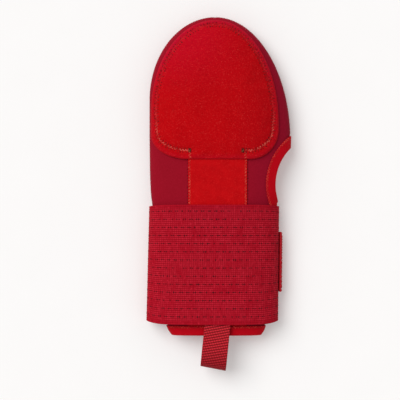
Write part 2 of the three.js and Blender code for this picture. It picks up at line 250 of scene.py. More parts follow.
def sleeve_top(x, y):
    """The height of the sleeve's outer surface over a point of its plan."""
    section = sleeve_at(y)
    reach = np.maximum(np.where(np.asarray(x) > 0, section.right, section.left), 1e-6)
    across = np.minimum(np.abs(x) / reach, 1)
    return SEAM_HEIGHT + section.crown * (1 - across**DOME_POWER) ** (1 / DOME_POWER)


# Meshes


def settled(points):
    """The cloth's slow waves, the same for every layer, so that no layer cuts into the next."""
    x, y, z = points[..., 0], points[..., 1], points[..., 2]
    wave = np.sin(x / 17 + 0.6 * np.sin(y / 29)) * np.sin(y / 23 + 1.1)
    wave += 0.6 * np.sin((x + 1.7 * y) / 19 + 2.0) * np.sin((y - x) / 31)
    lift = np.clip((z - 3) / 16, 0, 1)
    moved = points.copy()
    moved[..., 2] += 0.28 * wave * lift
    return moved


def spans(points):
    """The distances from point to point."""
    return np.linalg.norm(np.diff(points, axis=0), axis=1)


def travelled(points):
    """How far along its path each point lies."""
    return np.concatenate([[0], np.cumsum(spans(points))])


def unit(vectors):
    """The vectors at a length of 1."""
    return vectors / np.maximum(np.linalg.norm(vectors, axis=1)[:, None], 1e-9)


def shown(name, data):
    """A new object in the scene."""
    piece = bpy.data.objects.new(name, data)
    bpy.context.scene.collection.objects.link(piece)
    return piece


def painted(piece, *finishes):
    """The piece with these finishes only."""
    piece.data.materials.clear()
    for finish in finishes:
        piece.data.materials.append(finish)
    return piece


def made(name, points, faces, finish=None):
    """A mesh piece from points in millimetres, with its faces turned outwards."""
    mesh = bpy.data.meshes.new(name)
    place = settled(np.asarray(points, float).reshape(-1, 3)) / 1000 + PLACE
    mesh.from_pydata(place.tolist(), [], [tuple(map(int, face)) for face in faces])
    if finish:
        mesh.materials.append(finish)
    return shown(name, mesh)


def cleaned(piece, near=0.0):
    """Its points nearer than that merged, and its faces turned outwards and smooth."""
    work = bmesh.new()
    work.from_mesh(piece.data)
    if near:
        bmesh.ops.remove_doubles(work, verts=work.verts, dist=near)
        bmesh.ops.dissolve_degenerate(work, edges=work.edges, dist=near / 20)
    bmesh.ops.recalc_face_normals(work, faces=work.faces)
    for face in work.faces:
        face.smooth = True
    work.to_mesh(piece.data)
    work.free()
    return piece


def grid_faces(rows, cols, start=0, turned=False, closed=False):
    """Quads over a grid of points that are stored row by row."""
    r, c = np.meshgrid(np.arange(rows - 1), np.arange(cols if closed else cols - 1), indexing="ij")
    after = (c + 1) % cols
    a, b = r * cols + c, r * cols + after
    quads = np.stack([a, b, b + cols, a + cols], axis=-1).reshape(-1, 4) + start
    return quads[:, ::-1] if turned else quads


def closed_sheet(name, upper, lower, finish, near=0.0):
    """A sheet between two grids of points, with a wall round its edge."""
    rows, cols = upper.shape[:2]
    count = rows * cols
    edge = np.concatenate([
        np.arange(cols),
        np.arange(1, rows) * cols + cols - 1,
        (rows - 1) * cols + np.arange(cols - 2, -1, -1),
        np.arange(rows - 2, 0, -1) * cols,
    ])
    after = np.roll(edge, -1)
    wall = np.stack([edge, edge + count, after + count, after], axis=-1)
    faces = np.concatenate([grid_faces(rows, cols), grid_faces(rows, cols, count, True), wall])
    points = np.concatenate([upper.reshape(-1, 3), lower.reshape(-1, 3)])
    return cleaned(made(name, points, faces, finish), near)


def ring_body(name, rings, finish=None):
    """A body through closed rings of points, capped at both ends."""
    count, cols = rings.shape[:2]
    faces = list(grid_faces(count, cols, closed=True))
    faces.append(np.arange(cols)[::-1])
    faces.append(np.arange(cols) + (count - 1) * cols)
    return cleaned(made(name, rings, faces, finish))


def baked(piece):
    """Its modifiers applied."""
    graph = bpy.context.evaluated_depsgraph_get()
    mesh = bpy.data.meshes.new_from_object(piece.evaluated_get(graph))
    old = piece.data
    piece.modifiers.clear()
    piece.data = mesh
    mesh.name = piece.name
    bpy.data.meshes.remove(old)
    return piece


def trimmed(piece, cutter, operation="DIFFERENCE"):
    """The piece cut by a body, or kept only inside it."""
    cut = piece.modifiers.new("trim", "BOOLEAN")
    cut.object = cutter
    cut.operation = operation
    cut.solver = "MANIFOLD"
    return baked(piece)


def removed(*pieces):
    for piece in pieces:
        bpy.data.objects.remove(piece)


def smooth_all(piece):
    piece.data.polygons.foreach_set("use_smooth", [True] * len(piece.data.polygons))
    return piece


def rounded(distance, radius):
    """How full a rounded edge is at a distance inside it."""
    share = np.clip(distance / radius, 0, 1)
    return np.sqrt(1 - (1 - share) ** 2)


def edge_steps(width, radius, step):
    """Places across a strip, close together at its two rounded edges."""
    near = radius * np.array([0, 0.06, 0.25, 0.55])
    inner = np.linspace(radius, width - radius, max(int((width - 2 * radius) / step), 2))
    return np.concatenate([near, inner, width - near[::-1]])


def upright_disc(name, radius):
    """A disc round the thumb opening's middle, through the whole height."""
    turn = np.linspace(0, TURN, 360, endpoint=False)
    ring = np.stack([THUMB_X + radius * np.cos(turn), THUMB_Y + radius * np.sin(turn)], axis=-1)
    rings = np.stack([np.insert(ring, 2, z, axis=1) for z in (-20, 0, 12, 30, 50)])
    return ring_body(name, rings)


def sleeve_steps(start=0.0):
    """Places along the sleeve, closer together round the tip."""
    turn = np.linspace(0, math.pi / 2, 64)[1:]
    tip = LEFT_SHOULDER + (MITT_LENGTH - LEFT_SHOULDER) * np.sin(turn)
    return np.concatenate([np.linspace(start, LEFT_SHOULDER, 126), tip])


# Finishes


class Wire:
    """A value in a finish's nodes. Arithmetic on it adds the nodes that work it out."""

    def __init__(self, finish, socket):
        self.finish, self.socket = finish, socket

    def _with(self, operation, other, turned=False):
        pair = [other, self] if turned else [self, other]
        return self.finish.add("ShaderNodeMath", {"operation": operation}, pair)

    def __add__(self, other): return self._with("ADD", other)
    def __radd__(self, other): return self._with("ADD", other)
    def __sub__(self, other): return self._with("SUBTRACT", other)
    def __rsub__(self, other): return self._with("SUBTRACT", other, True)
    def __mul__(self, other): return self._with("MULTIPLY", other)
    def __rmul__(self, other): return self._with("MULTIPLY", other)
    def __truediv__(self, other): return self._with("DIVIDE", other)
    def __pow__(self, other): return self._with("POWER", other)
    def __mod__(self, other): return self._with("FLOORED_MODULO", other)
    def __abs__(self): return self._with("ABSOLUTE", 0)
    def __neg__(self): return self._with("MULTIPLY", -1)


def wave(value):
    """A sine from 0 to 1 that repeats each time the value grows by 1."""
    turn = value * TURN
    sine = value.finish.add("ShaderNodeMath", {"operation": "SINE"}, [turn])
    return sine * 0.5 + 0.5


def step(value, low, high):
    """From 0 below low to 1 above high, smoothly."""
    settings = {"interpolation_type": "SMOOTHSTEP"}
    return value.finish.add("ShaderNodeMapRange", settings, [value, low, high, 0.0, 1.0])


def colour(red, green, blue):
    """A colour, from its values as seen on a screen, from 0 to 255."""
    def linear(v):
        v = v / 255
        return v / 12.92 if v <= 0.04045 else ((v + 0.055) / 1.055) ** 2.4
    return (linear(red), linear(green), linear(blue), 1.0)


class Finish:
    """A fabric's finish and the nodes that make it."""

    def __init__(self, name, sheen=0.0, sheen_tint=(1, 0.4, 0.4, 1), specular=0.05):
        self.material = bpy.data.materials.new(name)
        self.material.use_nodes = True
        self.nodes = self.material.node_tree.nodes
        self.links = self.material.node_tree.links
        self.shader = self.nodes["Principled BSDF"]
        self.shader.inputs["Sheen Weight"].default_value = sheen
        self.shader.inputs["Sheen Tint"].default_value = sheen_tint
        self.shader.inputs["Sheen Roughness"].default_value = 0.4
        self.shader.inputs["Specular IOR Level"].default_value = specular

    def feed(self, socket, value):
        if isinstance(value, Wire):
            self.links.new(value.socket, socket)
        else:
            socket.default_value = value

    def add(self, kind, settings=(), values=(), output=0):
        """A node of a kind, with its settings and then its values or links, by place or by name."""
        node = self.nodes.new(kind)
        for name, value in dict(settings).items():
            setattr(node, name, value)
        named = values.items() if isinstance(values, dict) else enumerate(values)
        for key, value in named:
            self.feed(node.inputs[key], value)
        return Wire(self, node.outputs[output])

    def place(self):
        """Object coordinates in millimetres, from the cuff's middle."""
        metres = self.add("ShaderNodeTexCoord", output="Object")
        metres = self.add("ShaderNodeVectorMath", {"operation": "SUBTRACT"}, [metres, tuple(PLACE)])
        return self.add("ShaderNodeVectorMath", {"operation": "SCALE"}, {0: metres, "Scale": 1 / MM})

    def cloth_place(self):
        """Millimetres along and across the cloth, from its own map."""
        return self.add("ShaderNodeUVMap", {"uv_map": "cloth"})

    def parts(self, vector):
        node = self.nodes.new("ShaderNodeSeparateXYZ")
        self.links.new(vector.socket, node.inputs[0])
        return [Wire(self, node.outputs[i]) for i in range(3)]

    def turned(self, vector, degrees, scale=(1, 1, 1)):
        rotation = (0, 0, math.radians(degrees))
        return self.add("ShaderNodeMapping", {}, {"Vector": vector, "Rotation": rotation, "Scale": scale})

    def noise(self, vector, size, detail=2.0, roughness=0.5):
        values = {"Vector": vector, "Scale": 1 / size, "Detail": detail, "Roughness": roughness}
        return self.add("ShaderNodeTexNoise", {}, values, "Fac")

    def mixed(self, share, a, b):
        """From colour a to colour b."""
        node = self.nodes.new("ShaderNodeMix")
        node.data_type = "RGBA"
        self.feed(node.inputs[0], share)
        self.feed(node.inputs[6], a)
        self.feed(node.inputs[7], b)
        return Wire(self, node.outputs[2])

    def layered(self, first, *layers):
        """A first colour under further ones, each with the share that it covers."""
        base = colour(*first)
        for share, *over in layers:
            base = self.mixed(share, base, colour(*over))
        return base

    def finished(self, base, roughness, height=None, depth=0.1):
        """The colour, roughness and relief, whose height from 0 to 1 stands depth millimetres."""
        self.feed(self.shader.inputs["Base Color"], base)
        self.feed(self.shader.inputs["Roughness"], roughness)
        if height is not None:
            values = {"Height": height, "Distance": depth / 1000, "Strength": 1.0}
            bump = self.add("ShaderNodeBump", {}, values)
            self.links.new(bump.socket, self.shader.inputs["Normal"])
        return self.material


def neoprene_face():
    """Fine jersey over foam."""
    cloth = Finish("neoprene_jersey", sheen=0.04, sheen_tint=(0.9, 0.3, 0.6, 1))
    at = cloth.place()
    x, y, _ = cloth.parts(at)
    wales = wave(x / 0.62 + cloth.noise(at, 3.0) * 0.5) * wave(y / 0.5)
    broad = cloth.noise(at, 26.0, 3.0)
    fine = cloth.noise(at, 1.1, 3.0)
    base = cloth.layered(
        (152, 12, 33),
        (broad, 140, 9, 28),
        # Painted shade: darker and more purple toward the thumb side, away from the key light
        (step(x, 10.0, 62.0) * 0.5, 122, 9, 39),
        (step(fine, 0.35, 0.75) * 0.25, 176, 24, 50),
        ((1 - wales) * 0.12, 100, 4, 18),
    )
    return cloth.finished(base, 0.72 + fine * 0.14, wales * 0.5 + fine * 0.5, 0.08)


def lining_face():
    """The plain knit inside the sleeve."""
    cloth = Finish("lining_knit", sheen=0.03)
    at = cloth.place()
    x, y, _ = cloth.parts(at)
    knit = wave(x / 0.9) * wave(y / 0.9)
    return cloth.finished(cloth.layered((112, 8, 22), (knit, 146, 16, 34)), 0.85, knit, 0.1)


def pile_face():
    """Brushed pile of the finger pad."""
    cloth = Finish("brushed_pile", sheen=0.06, sheen_tint=(1, 0.2, 0.2, 1))
    at = cloth.place()
    x, y, _ = cloth.parts(at)
    tufts = cloth.noise(at, 0.9, 3.0, 0.7)
    clumps = cloth.noise(at, 2.0, 3.0, 0.6)
    brushed = cloth.noise(cloth.turned(at, 24, (1.0, 0.35, 1.0)), 14.0, 3.0)
    upper = step(y, PAD_LOWER + 45, PAD_TIP - 10)
    inset = cloth.add("ShaderNodeAttribute", {"attribute_name": "inset"}, output="Fac")
    base = cloth.layered(
        (170, 1, 8),
        (brushed, 184, 3, 11),
        # Painted sheen: a pinker tint over the upper left of the pad, toward the key light
        (upper * step(x * -1, -45.0, 40.0) * 0.75, 186, 5, 34),
        # Painted shade: darker toward the thumb side, away from the key light
        (step(x, 5.0, 52.0) * 0.45, 150, 2, 12),
        # Painted sheen: a pinker band within a few millimetres of the pad's edge, where the pile turns down,
        # stronger toward the tip
        ((1 - step(inset, 1.0, 6.0)) * (upper * 0.35 + 0.2), 170, 12, 46),
        (step(tufts, 0.54, 0.7) * 0.6, 222, 30, 30),
        (step(cloth.noise(at, 0.7, 2.0, 0.7), 0.6, 0.74) * 0.6, 240, 78, 74),
        (step(1 - clumps, 0.52, 0.74) * 0.4, 146, 0, 6),
    )
    return cloth.finished(base, 0.92, tufts * 0.6 + clumps * 0.4, 0.5)


def strip_face():
    """Close pile of the centre panel."""
    cloth = Finish("close_pile", sheen=0.05, sheen_tint=(1, 0.2, 0.2, 1))
    at = cloth.place()
    tufts = cloth.noise(at, 0.8, 2.0, 0.6)
    broad = cloth.noise(at, 7.0, 4.0, 0.6)
    base = cloth.layered(
        (178, 4, 11), (step(broad, 0.3, 0.7), 190, 7, 14), (step(tufts, 0.5, 0.8) * 0.5, 224, 44, 42)
    )
    return cloth.finished(base, 0.85, tufts, 0.25)


def tape_face():
    """Folded binding tape."""
    cloth = Finish("binding_tape", sheen=0.02, specular=0.05)
    at = cloth.place()
    x, y, _ = cloth.parts(at)
    threads = wave((x + y) / 0.8) * wave((x - y) / 0.8)
    broad = cloth.noise(at, 5.0, 3.0)
    base = cloth.layered((178, 1, 17), (broad, 194, 3, 24), (threads * 0.3, 146, 0, 12))
    return cloth.finished(base, 0.6 + broad * 0.15, threads, 0.12)


def elastic_face():
    """Ribbed elastic of the strap, whose own map runs along it and across it."""
    cloth = Finish("ribbed_elastic", sheen=0.04, sheen_tint=(1, 0.35, 0.4, 1))
    at = cloth.cloth_place()
    u, v, _ = cloth.parts(at)
    rib = wave(v / RIB_PITCH - 0.25 + cloth.noise(at, 12.0) * 0.12)
    ends = wave(u / 1.9 + cloth.noise(at, 5.0) * 0.8)
    patches = cloth.noise(cloth.turned(at, 0, (1.0, 0.5, 1.0)), 6.0, 3.0)
    broad = cloth.noise(at, 22.0, 3.0)
    fine = cloth.noise(cloth.turned(at, 0, (1.0, 0.45, 1.0)), 1.6, 3.0)
    selvage = 1 - step(STRAP_WIDTH / 2 - abs(v - STRAP_WIDTH / 2), 2.6, 3.6)
    ribbed = (1 - selvage * 0.75) * step(patches, 0.2, 0.62)
    x = cloth.parts(cloth.place())[0]
    base = cloth.layered(
        (156, 6, 26),
        (broad, 170, 11, 33),
        # Painted shade: darker toward the thumb side, away from the key light
        (step(x, 5.0, 55.0) * 0.3, 120, 4, 18),
        # Painted shade between the ribs and painted highlight along their crests, over the ribs' bump
        ((1 - rib) * 0.45 * ribbed, 114, 1, 12),
        (rib * (ends * 0.5 + 0.3) * ribbed, 210, 40, 60),
        ((1 - ends) * 0.13, 126, 2, 14),
        (step(fine, 0.52, 0.72) * 0.42, 128, 2, 16),
        (step(1 - fine, 0.55, 0.75) * 0.4, 216, 44, 66),
    )
    return cloth.finished(base, 0.78, rib * 0.6 + ends * 0.4, 0.25)


def hook_face():
    """Hook tape."""
    cloth = Finish("hook_tape", specular=0.15)
    at = cloth.cloth_place()
    u, v, _ = cloth.parts(at)
    hooks = wave(u / 1.3) * wave(v / 1.3)
    broad = cloth.noise(at, 8.0, 2.0)
    base = cloth.layered((164, 8, 20), (hooks, 214, 34, 50), (broad * 0.4, 180, 12, 28))
    return cloth.finished(base, 0.6, hooks, 0.4)


def webbing_face():
    """Twilled webbing of the pull loop."""
    cloth = Finish("twill_webbing", sheen=0.03, specular=0.08)
    at = cloth.cloth_place()
    u, v, _ = cloth.parts(at)
    line = u / TWILL_PITCH - v * (math.tan(TWILL_ANGLE) / TWILL_PITCH)
    rib = wave(line + TWILL_PHASE + cloth.noise(at, 5.0) * 0.2)
    strands = wave(v / FLOAT_PITCH + line * 0.5 + cloth.noise(at, 2.5) * 0.3)
    fine = cloth.noise(at, 0.8, 2.0)
    y = cloth.parts(cloth.place())[1]
    # Painted shade: darker toward the fold at the loop's far end, where the webbing bends down away from the
    # light
    folded = step(y * -1, 6.0, 28.0)
    base = cloth.layered(
        (120, 1, 9),
        (step(rib, 0.2, 0.8), 212, 42, 54),
        (step(1 - strands, 0.3, 0.95) * 0.62, 112, 4, 14),
        (step(fine, 0.5, 0.75) * 0.35, 214, 64, 74),
        (folded * 0.45, 104, 4, 12),
    )
    return cloth.finished(base, 0.6, rib * 0.7 + strands * 0.3, 0.25)


def thread_face(name, dark, light, low_light=None):
    """Sewing thread, lighter where it is worn, and lighter still low on the pad."""
    cloth = Finish(name, specular=0.15)
    at = cloth.place()
    light = colour(*light)
    if low_light:
        y = cloth.parts(at)[1]
        light = cloth.mixed(1 - step(y, PAD_LOWER + 14, PAD_LOWER + 46), light, colour(*low_light))
    worn = step(cloth.noise(at, 2.6, 3.0, 0.6), 0.36, 0.64)
    return cloth.finished(cloth.mixed(worn, colour(*dark), light), 0.55, cloth.noise(at, 0.4), 0.05)


NEOPRENE_FACE = neoprene_face()
LINING_FACE = lining_face()
PILE_FACE = pile_face()
STRIP_FACE = strip_face()
TAPE_FACE = tape_face()
ELASTIC_FACE = elastic_face()
HOOK_FACE = hook_face()
WEBBING_FACE = webbing_face()
PAD_THREAD = thread_face("pad_thread", (158, 4, 14), (206, 40, 46), (240, 112, 98))
PANEL_THREAD = thread_face("panel_thread", (180, 24, 26), (230, 96, 76))
TAPE_THREAD = thread_face("tape_thread", (178, 12, 24), (222, 76, 62))
TACK_THREAD = thread_face("tack_thread", (84, 12, 10), (122, 24, 18))
KNOT_THREAD = thread_face("knot_thread", (108, 58, 34), (150, 88, 56))
MARK_THREAD = thread_face("mark_thread", (60, 0, 8), (96, 3, 14))
SEAM_THREAD = thread_face("seam_thread", (150, 16, 32), (196, 44, 56))
# Painted shade, for the dark marks in needle holes and along the centre panel's edges
HOLE_SHADE = thread_face("needle_holes", (92, 0, 6), (132, 2, 12))


# The sleeve's two panels


def sleeve_panel(name, top):
    """One neoprene panel, from the outside to the lining, with its edge rolled in at the side seams."""
    even = np.linspace(0, 1, 97)
    turn = math.pi * (even - np.sin(TURN * even) / TURN * 0.7)
    angle = turn if top else turn + math.pi
    section = sleeve_at(sleeve_steps(BINDING_THICKNESS + GAP)[:, None])
    faces = []
    for depth in (0, -NEOPRENE):
        points = on_section(grown(section, depth), angle)
        toward = 1 if top else -1
        clear = np.maximum((points[..., 2] - SEAM_HEIGHT) * toward, GAP / 2)
        points[..., 2] = SEAM_HEIGHT + toward * clear
        if depth == 0:
            rolled = 0.55 * np.exp(-((clear / 0.8) ** 2))
            points[..., 0] -= np.sign(points[..., 0]) * np.minimum(rolled, np.abs(points[..., 0]))
        faces.append(points)
    panel = closed_sheet(name, faces[0], faces[1], NEOPRENE_FACE, 2e-6)
    cutter = upright_disc("thumb_cutter", THUMB_RADIUS + BINDING_THICKNESS + GAP)
    trimmed(panel, cutter)
    removed(cutter)
    smooth_all(panel)
    painted(panel, NEOPRENE_FACE, LINING_FACE)
    for face in panel.data.polygons:
        outward = (face.center - Vector(PLACE)) / MM - Vector((0, 0, SEAM_HEIGHT))
        outward.y = 0
        face.material_index = int(face.normal.dot(outward) < -0.2 * outward.length)
    return panel


back = sleeve_panel("back_panel_neoprene", True)
palm = sleeve_panel("palm_panel_neoprene", False)


# Bindings


def sleeve_block(name, by, start, end):
    """The sleeve's body grown by a distance, between two places along it."""
    angle = np.linspace(0, TURN, 260, endpoint=False)
    section = grown(sleeve_at(np.linspace(start, end, 90)[:, None]), by)
    return ring_body(name, on_section(section, angle))


def thumb_binding():
    """Tape folded over the neoprene round the thumb opening."""
    outside = GAP + BINDING_THICKNESS
    start, end = THUMB_Y - 56, THUMB_Y + 62
    tape = sleeve_block("thumb_binding_tape", outside, start, end)
    ring = upright_disc("ring", THUMB_RADIUS + BINDING_WIDTH)
    bite = upright_disc("bite", THUMB_RADIUS)
    hollow = sleeve_block("hollow", -NEOPRENE - outside, start - 3, end + 3)
    core = sleeve_block("core", GAP, start - 2, end + 2)
    core_hollow = sleeve_block("core_hollow", -NEOPRENE - GAP, start - 4, end + 4)
    core_bite = upright_disc("core_bite", THUMB_RADIUS + BINDING_THICKNESS)
    trimmed(tape, ring, "INTERSECT")
    trimmed(tape, bite)
    trimmed(tape, hollow)
    trimmed(core, core_hollow)
    trimmed(core, core_bite)
    trimmed(tape, core)
    removed(ring, bite, hollow, core, core_hollow, core_bite)
    remesh = tape.modifiers.new("remesh", "REMESH")
    remesh.mode = "VOXEL"
    remesh.voxel_size = BINDING_VOXEL * MM
    soften = tape.modifiers.new("soften", "SMOOTH")
    soften.factor = 0.5
    soften.iterations = 4
    baked(tape)
    return smooth_all(painted(tape, TAPE_FACE))


def cuff_binding():
    """Tape folded over the cuff edge, as one ring."""
    outer, inner = GAP + BINDING_THICKNESS, -NEOPRENE - GAP - BINDING_THICKNESS
    corner, width = 1.3, BINDING_WIDTH
    turn = np.linspace(0, math.pi / 2, 7)
    edge = 0.35
    profile = [(width - edge * (1 - math.cos(t)), outer - edge * (1 - math.sin(t))) for t in turn]
    profile += [(y, outer) for y in np.linspace(width - 0.9, corner + 0.5, 9)]
    profile += [(corner - corner * math.sin(t), outer - corner + corner * math.cos(t)) for t in turn]
    profile += [(corner - corner * math.cos(t), inner + corner - corner * math.sin(t)) for t in turn]
    profile += [(y, inner) for y in np.linspace(corner + 0.8, width, 8)]
    profile += [(width, inner + BINDING_THICKNESS), (BINDING_THICKNESS, inner + BINDING_THICKNESS)]
    profile += [(BINDING_THICKNESS, GAP), (width, GAP)]
    angle = np.linspace(0, TURN, 300, endpoint=False)
    rings = [on_section(grown(sleeve_at(np.array(y)), by), angle) for y, by in profile]
    rings.append(rings[0])
    rings = np.stack(rings)
    faces = grid_faces(len(rings), len(angle), closed=True)
    return cleaned(made("cuff_binding_tape", rings, faces, TAPE_FACE), 2e-6)


thumb_tape = thumb_binding()
cuff_tape = cuff_binding()


# The plate sleeve and the finger pad


def centre_panel():
    """The strip that the stiffening plate slides into."""
    half = PANEL_WIDTH / 2
    x = PANEL_CENTRE - half + edge_steps(PANEL_WIDTH, 0.5, 1.0)
    y = PANEL_LOWER + edge_steps(PANEL_UPPER - PANEL_LOWER, 0.5, 1.0)
    across, along = np.meshgrid(x, y)
    inset = np.minimum(half - np.abs(across - PANEL_CENTRE), np.minimum(along - y[0], y[-1] - along))
    base = sleeve_top(across, along) + GAP
    seam = 0.4 * np.exp(-(((half - np.abs(across - PANEL_CENTRE) - 1.4) / 0.9) ** 2))
    top = base + PANEL_THICKNESS * (0.35 + 0.65 * rounded(inset, 0.5)) - seam
    upper = np.stack([across, along, top], axis=-1)
    lower = np.stack([across, along, base], axis=-1)
    return closed_sheet("centre_panel_pile", upper, lower, STRIP_FACE)


def pad_outline(count):
    """Evenly spaced points round the pad: a pocket edge, two round corners and two arcs up to the tip."""
    left, right = 1.1 - SLEEVE_LEFT, SLEEVE_RIGHT - 10.3
    width, length = right - left, PAD_TIP - PAD_LOWER
    left_wide, left_tall = 0.29 * width, 0.175 * length
    right_wide, right_tall = 0.225 * width, 0.21 * length
    left_rise, right_rise = 0.66 * length, 0.73 * length
    quarter = np.linspace(0, math.pi / 2, 200)
    arcs = [
        (right - right_wide, PAD_LOWER + right_tall, right_wide, right_tall, quarter - math.pi / 2),
        (0, PAD_TIP - right_rise, right, right_rise, quarter),
        (0, PAD_TIP - left_rise, -left, left_rise, quarter + math.pi / 2),
        (left + left_wide, PAD_LOWER + left_tall, left_wide, left_tall, quarter + math.pi),
    ]
    path = np.concatenate([
        np.stack([x + a * np.cos(t), y + b * np.sin(t)], axis=-1) for x, y, a, b, t in arcs
    ])
    return evenly(path, count, closed=True)


def evenly(path, count, closed=False):
    """The path's points again, evenly spaced."""
    if closed:
        path = np.concatenate([path, path[:1]])
    reach = travelled(path)
    at = np.linspace(0, reach[-1], count, endpoint=not closed)
    return np.stack([np.interp(at, reach, values) for values in path.T], axis=-1)


def inset_outline(outline, distance):
    """The outline moved in by a distance."""
    ahead, behind = np.roll(outline, -1, axis=0), np.roll(outline, 1, axis=0)
    along = unit(ahead - behind)
    inward = np.stack([-along[:, 1], along[:, 0]], axis=-1)
    return outline + inward * distance


def sewn_margin(points):
    """How far inside the pad's edge its stitches run: further along the pocket edge."""
    low = np.clip((PAD_LOWER + 45 - points[:, 1]) / 42, 0, 1)
    return SEWN_MARGIN + (POCKET_MARGIN - SEWN_MARGIN) * low**1.5


def pocket_share(points):
    """1 where the pad's lower edge is left open, between the bar tacks."""
    x, y = points[..., 0], points[..., 1]
    low = np.clip((PAD_LOWER + 12 - y) / 3, 0, 1)
    inside = np.clip((x - POCKET_LEFT + 1.5) / 3, 0, 1) * np.clip((POCKET_RIGHT + 1.5 - x) / 3, 0, 1)
    return low * inside


def finger_pad():
    """The padded plate cover. Its middle swells between the stitches, and its edge lies flat outside them."""
    count = PAD_COLUMNS
    outline = pad_outline(count)
    margin = sewn_margin(outline)
    near = np.array([0, 0.03, 0.08, 0.17, 0.3, 0.45, 0.6, 0.74, 0.87, 1.0, 1.13, 1.28, 1.45, 1.7, 2.0])
    rings = [inset_outline(outline, d * margin[:, None]) for d in near]
    middle = (outline.max(axis=0) + outline.min(axis=0)) / 2
    shares = np.linspace(0, 1, 26)[1:]
    rings += [rings[len(near) - 1] * (1 - s) + middle * s for s in shares]
    plan = np.stack(rings)
    inset = np.concatenate([near, near[-1] + 8 * shares])[:, None] * margin
    open_share = pocket_share(plan)
    groove = np.exp(-(((inset - margin) / 1.2) ** 2)) * (1 - open_share)
    swell = 0.8 + 0.2 * np.clip((inset - margin) / 5, 0, 1)
    swell = np.maximum(swell, 0.9 * open_share)
    full = PAD_THICKNESS * swell * (0.25 + 0.75 * rounded(inset, 1.5)) - 0.8 * groove
    base = sleeve_top(plan[..., 0], plan[..., 1]) + GAP
    half = PANEL_WIDTH / 2 + 1.5
    over = np.clip((half + 1.5 - np.abs(plan[..., 0] - PANEL_CENTRE)) / 3, 0, 1)
    over = over * np.clip((PANEL_UPPER + 3 - plan[..., 1]) / 3, 0, 1) * (PANEL_THICKNESS + GAP)
    upper = np.concatenate([plan, (base + full)[..., None]], axis=-1)
    lower = np.concatenate([plan, (base + np.minimum(over, full - 0.3))[..., None]], axis=-1)
    upper = swollen(upper, inset, margin, open_share)
    rows = len(rings)
    faces = np.concatenate([
        grid_faces(rows, count, closed=True),
        grid_faces(rows, count, rows * count, True, closed=True),
    ])
    edge = np.arange(count)
    wall = np.stack([edge, edge + rows * count, np.roll(edge, -1) + rows * count, np.roll(edge, -1)], -1)
    points = np.concatenate([upper.reshape(-1, 3), lower.reshape(-1, 3)])
    pad = cleaned(made("finger_pad_pile", points, np.concatenate([faces, wall]), PILE_FACE), 5e-5)
    finer = pad.modifiers.new("finer", "SUBSURF")
    finer.levels = finer.render_levels = 1
    baked(pad)
    place = (np.array([v.co[:] for v in pad.data.vertices]) - PLACE)[:, :2] / MM
    inset = np.min([np.hypot(*(place - point).T) for point in pad_outline(500)], axis=0)
    pad.data.attributes.new("inset", "FLOAT", "POINT").data.foreach_set("value", inset)
    return smooth_all(pad)


def swollen(upper, inset, margin, open_share):
    """The pad's face blown up a little as cloth that is held at its edge and its stitches."""
    rows, count = upper.shape[0] - 1, upper.shape[1]
    coarse = upper[:rows, ::CLOTH_STRIDE]
    cols = coarse.shape[1]
    sheet = made("pad_cloth", coarse, grid_faces(rows, cols, closed=True))
    held = sheet.vertex_groups.new(name="held")
    edge = inset < 1.6
    stitched = (np.abs(inset - margin) < 0.8) & (open_share < 0.5)
    pinned = (edge | stitched)[:rows, ::CLOTH_STRIDE]
    held.add(np.flatnonzero(pinned.ravel()).tolist(), 1.0, "REPLACE")
    cloth = sheet.modifiers.new("cloth", "CLOTH")
    fabric = {
        "vertex_group_mass": "held",
        "quality": 5,
        "mass": 0.2,
        "tension_stiffness": 12,
        "compression_stiffness": 12,
        "bending_stiffness": 0.05,
        "use_pressure": True,
        "uniform_pressure_force": CLOTH_PRESSURE,
        "shrink_min": -0.012,
    }
    for name, value in fabric.items():
        setattr(cloth.settings, name, value)
    cloth.settings.effector_weights.gravity = 0
    cloth.point_cache.frame_end = CLOTH_FRAMES
    before = np.array([v.co for v in sheet.data.vertices])
    scene = bpy.context.scene
    for frame_number in range(1, CLOTH_FRAMES + 1):
        scene.frame_set(frame_number)
    graph = bpy.context.evaluated_depsgraph_get()
    after = np.array([v.co for v in sheet.evaluated_get(graph).data.vertices])
    scene.frame_set(1)
    removed(sheet)
    moved = (after - before) / MM
    reach = np.linalg.norm(moved, axis=1)[:, None]
    moved *= MOST_SWELL * np.tanh(reach / MOST_SWELL) / np.maximum(reach, 1e-9)
    moved[:, 2] = np.maximum(moved[:, 2], -MOST_SINK)
    moved = moved.reshape(rows, cols, 3)
    moved = np.concatenate([moved, np.broadcast_to(moved[-1].mean(axis=0), (1, cols, 3))])
    moved = np.concatenate([moved, moved[:, :1]], axis=1)
    at = np.arange(count) / CLOTH_STRIDE
    here, share = at.astype(int), (at % 1)[None, :, None]
    moved = moved[:, here] * (1 - share) + moved[:, here + 1] * share
    print("pad cloth moved up to", round(float(reach.max()), 2), "mm, mean", round(float(reach.mean()), 2))
    return upper + moved


centre = centre_panel()
pad = finger_pad()


# The strap, its tab and the pull loop


def strap_at(y):
    """The strap's inner section at y."""
    top, here = sleeve_at(STRAP_UPPER), sleeve_at(y)
    share = (STRAP_UPPER - y) / STRAP_WIDTH
    over_loop = sleeve_at(LOOP_ROOT).crown + 2 * (LOOP_THICKNESS + GAP)
    return SimpleNamespace(
        y=y,
        left=np.maximum(top.left + share * STRAP_FLARE_LEFT, here.left) + PALM_RISE,
        right=np.maximum(top.right + share * STRAP_FLARE_RIGHT, here.right) + PALM_RISE,
        crown=np.maximum(np.maximum(top.crown, here.crown), over_loop) + STACK,
        belly=(SEAM_HEIGHT - STRAP_THICKNESS) * BELLY_SAG,
        rest=STRAP_THICKNESS,
    )


